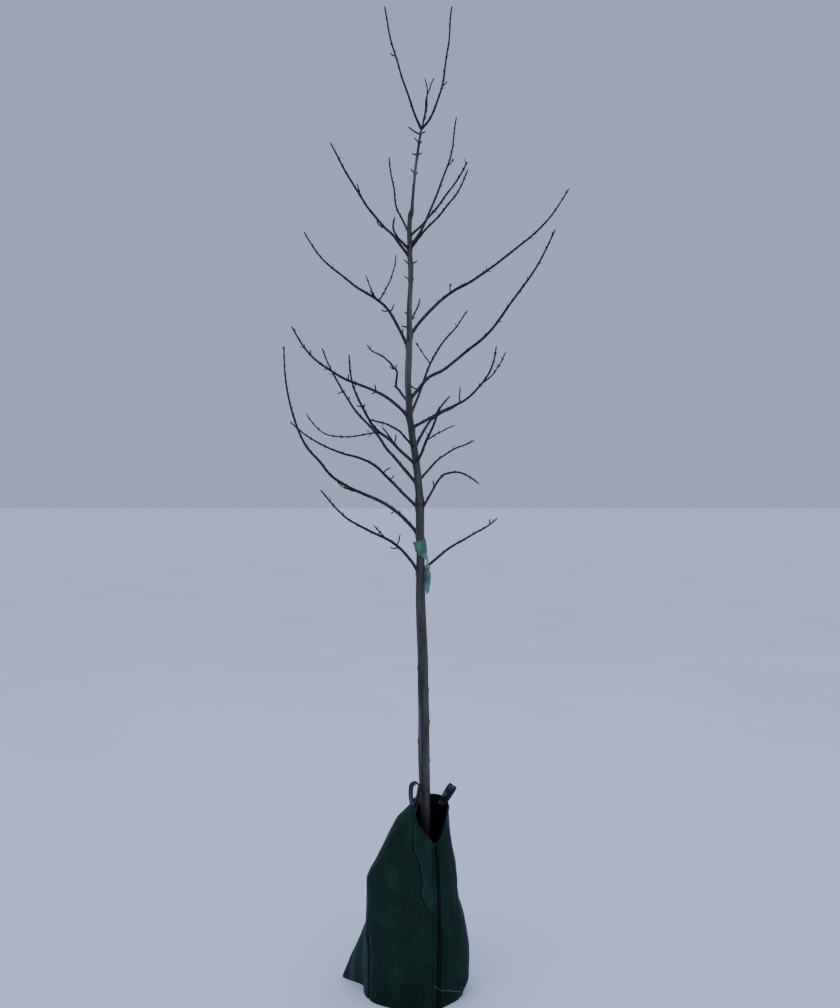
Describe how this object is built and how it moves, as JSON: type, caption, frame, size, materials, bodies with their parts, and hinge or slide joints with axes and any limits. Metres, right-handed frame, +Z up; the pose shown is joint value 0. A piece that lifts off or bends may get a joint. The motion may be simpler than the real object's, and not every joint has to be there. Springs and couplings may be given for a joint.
{
  "type": "young tree with watering bag",
  "caption": "Bare young deciduous tree with opposite limbs, rooted in the ground, with a zip-up watering bag round the foot of its trunk and a ribbon tied above it.",
  "frame": {"origin": "on level ground, in the flat cut under the trunk, at its middle", "axes": "+Z up the trunk, +X to the right of the front view, -Y to the front, where the zip of the bag is"},
  "size_m": [1.0079, 0.6887, 3.2821],
  "materials": {
    "trunk_bark": "smooth thin young bark, olive grey-brown with faint lengthwise streaks",
    "limb_bark": "smooth dark grey-brown bark with ringed nodes",
    "twig_bark": "dark grey-brown young twigs with opposite buds",
    "bag_sheet": "woven plastic sheet, dark green, slightly shiny, creased",
    "zip_tape": "black zip with fine teeth",
    "webbing": "black woven webbing with a slight shine",
    "ribbon": "thin sea-green plastic ribbon"
  },
  "bodies": {
    "root": {"bag": "bag_sheet", "bough_eighth_back": "limb_bark", "bough_eighth_right": "limb_bark", "bough_eleventh_right": "limb_bark", "bough_fifth_front": "limb_bark", "bough_fifth_left": "limb_bark", "bough_first_left": "limb_bark", "bough_first_right": "limb_bark", "bough_fourth_left": "limb_bark", "bough_ninth_left": "limb_bark", "bough_ninth_right": "limb_bark", "bough_second_left": "limb_bark", "bough_seventh_left": "limb_bark", "bough_seventh_right": "limb_bark", "bough_sixth_back": "limb_bark", "bough_tenth_left": "limb_bark", "bough_tenth_right": "limb_bark", "bough_third_left": "limb_bark", "bough_third_right": "limb_bark", "handle_left": "webbing", "handle_right": "webbing", "ribbon_band": "ribbon", "ribbon_tail": "ribbon", "trunk": "trunk_bark", "twigs_eighth_back": "twig_bark", "twigs_eighth_left": "twig_bark", "twigs_eighth_right": "twig_bark", "twigs_eleventh_left": "twig_bark", "twigs_eleventh_right": "twig_bark", "twigs_fifth_front": "twig_bark", "twigs_fifth_left": "twig_bark", "twigs_first_left": "twig_bark", "twigs_first_right": "twig_bark", "twigs_fourth_left": "twig_bark", "twigs_fourth_right": "twig_bark", "twigs_leader_left": "twig_bark", "twigs_leader_right": "twig_bark", "twigs_ninth_back": "twig_bark", "twigs_ninth_left": "twig_bark", "twigs_ninth_right": "twig_bark", "twigs_second_left": "twig_bark", "twigs_seventh_left": "twig_bark", "twigs_seventh_right": "twig_bark", "twigs_sixth_back": "twig_bark", "twigs_sixth_front": "twig_bark", "twigs_tenth_front": "twig_bark", "twigs_tenth_left": "twig_bark", "twigs_tenth_low_right": "twig_bark", "twigs_tenth_right": "twig_bark", "twigs_third_left": "twig_bark", "twigs_third_right": "twig_bark", "zip": "zip_tape"}
  },
  "joints": []
}
